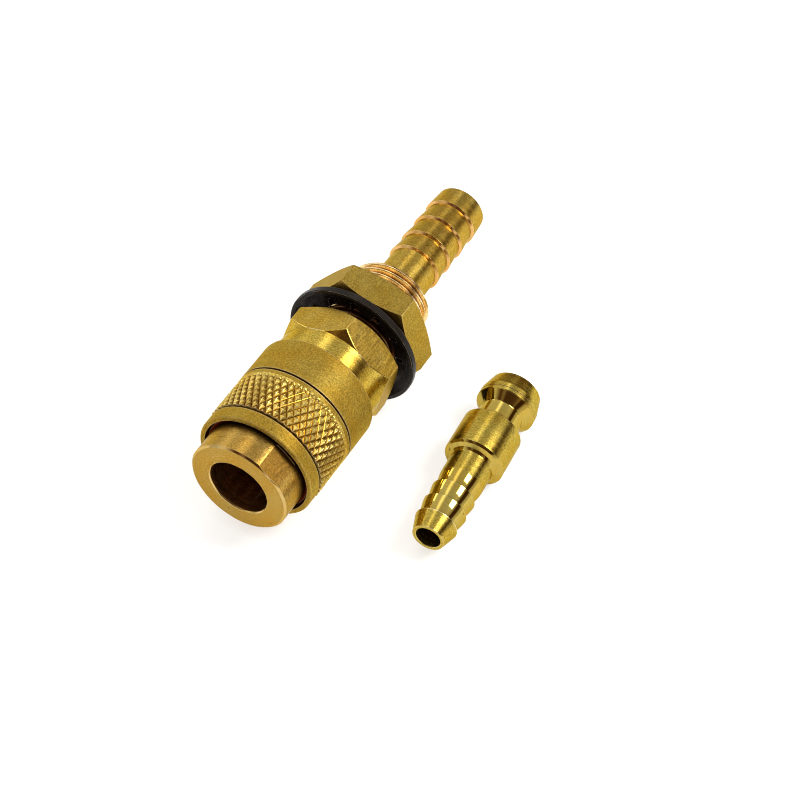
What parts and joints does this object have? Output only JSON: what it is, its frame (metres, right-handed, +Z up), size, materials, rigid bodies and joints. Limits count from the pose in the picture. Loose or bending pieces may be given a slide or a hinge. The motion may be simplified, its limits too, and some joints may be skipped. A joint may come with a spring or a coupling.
{
  "type": "quick disconnect coupler",
  "caption": "Panel-mount brass quick disconnect coupler for hose: valved ball-lock socket with knurled release sleeve, and its loose barbed plug.",
  "frame": {"origin": "middle of the bottom of the box round both halves, on the surface they lie on", "axes": "+Y along the socket's axis from its open nose to its hose barb, +Z up, +X towards the plug"},
  "size_m": [0.0388, 0.0644, 0.0209],
  "materials": {
    "brass": "satin turned brass",
    "bright_brass": "bright turned brass",
    "black_steel": "blackened, oiled",
    "steel": "polished steel",
    "rubber": "matte black rubber"
  },
  "bodies": {
    "socket_body": {"front_body": "brass", "rear_body": "brass", "sleeve_retaining_ring": "steel", "plug_seal": "rubber", "valve_guide": "brass", "body_gasket": "rubber", "sleeve_spring": "steel", "valve_spring": "steel"},
    "release_sleeve": {"release_sleeve": "brass"},
    "valve_poppet": {"valve_poppet": "brass", "poppet_seal": "rubber"},
    "lock_washer": {"lock_washer": "black_steel"},
    "panel_nut": {"panel_nut": "brass"},
    "plug": {"plug": "bright_brass"},
    "lock_ball_1": {"lock_ball_1": "steel"},
    "lock_ball_2": {"lock_ball_2": "steel"},
    "lock_ball_3": {"lock_ball_3": "steel"},
    "lock_ball_4": {"lock_ball_4": "steel"},
    "lock_ball_5": {"lock_ball_5": "steel"},
    "lock_ball_6": {"lock_ball_6": "steel"}
  },
  "joints": [
    {"name": "sleeve_slide", "type": "slide", "parent": "socket_body", "child": "release_sleeve", "axis": [0, 1, 0], "range_m": [0, 0.0025], "stiffness_N_per_m": 1500, "springref_m": -0.002, "deforming": ["sleeve_spring"]},
    {"name": "poppet_slide", "type": "slide", "parent": "socket_body", "child": "valve_poppet", "axis": [0, 1, 0], "range_m": [0, 0.002], "stiffness_N_per_m": 600, "springref_m": -0.0015, "deforming": ["valve_spring"]},
    {"name": "ball_1_travel", "type": "slide", "parent": "socket_body", "child": "lock_ball_1", "axis": [1, 0, 0], "range_m": [0, 0.00106]},
    {"name": "ball_2_travel", "type": "slide", "parent": "socket_body", "child": "lock_ball_2", "axis": [0.5, 0, 0.866], "range_m": [0, 0.00106]},
    {"name": "ball_3_travel", "type": "slide", "parent": "socket_body", "child": "lock_ball_3", "axis": [-0.5, 0, 0.866], "range_m": [0, 0.00106]},
    {"name": "ball_4_travel", "type": "slide", "parent": "socket_body", "child": "lock_ball_4", "axis": [-1, 0, 0], "range_m": [0, 0.00106]},
    {"name": "ball_5_travel", "type": "slide", "parent": "socket_body", "child": "lock_ball_5", "axis": [-0.5, 0, -0.866], "range_m": [0, 0.00106]},
    {"name": "ball_6_travel", "type": "slide", "parent": "socket_body", "child": "lock_ball_6", "axis": [0.5, 0, -0.866], "range_m": [0, 0.00106]},
    {"name": "washer_spin", "type": "hinge", "parent": "socket_body", "child": "lock_washer", "pos_m": [-0.00901, -0.00067, 0.01043], "axis": [0, 1, 0], "continuous": true},
    {"name": "nut_spin", "type": "hinge", "parent": "socket_body", "child": "panel_nut", "pos_m": [-0.00901, 0.0027, 0.01043], "axis": [0, 1, 0], "continuous": true},
    {"name": "plug_lift", "type": "slide", "parent": "socket_body", "child": "plug", "axis": [0, 0, 1], "range_m": [0, 0.05]}
  ],
  "couplings": [
    {"joint": "ball_1_travel", "follows": "sleeve_slide", "ratio": 0.42},
    {"joint": "ball_2_travel", "follows": "sleeve_slide", "ratio": 0.42},
    {"joint": "ball_3_travel", "follows": "sleeve_slide", "ratio": 0.42},
    {"joint": "ball_4_travel", "follows": "sleeve_slide", "ratio": 0.42},
    {"joint": "ball_5_travel", "follows": "sleeve_slide", "ratio": 0.42},
    {"joint": "ball_6_travel", "follows": "sleeve_slide", "ratio": 0.42}
  ]
}
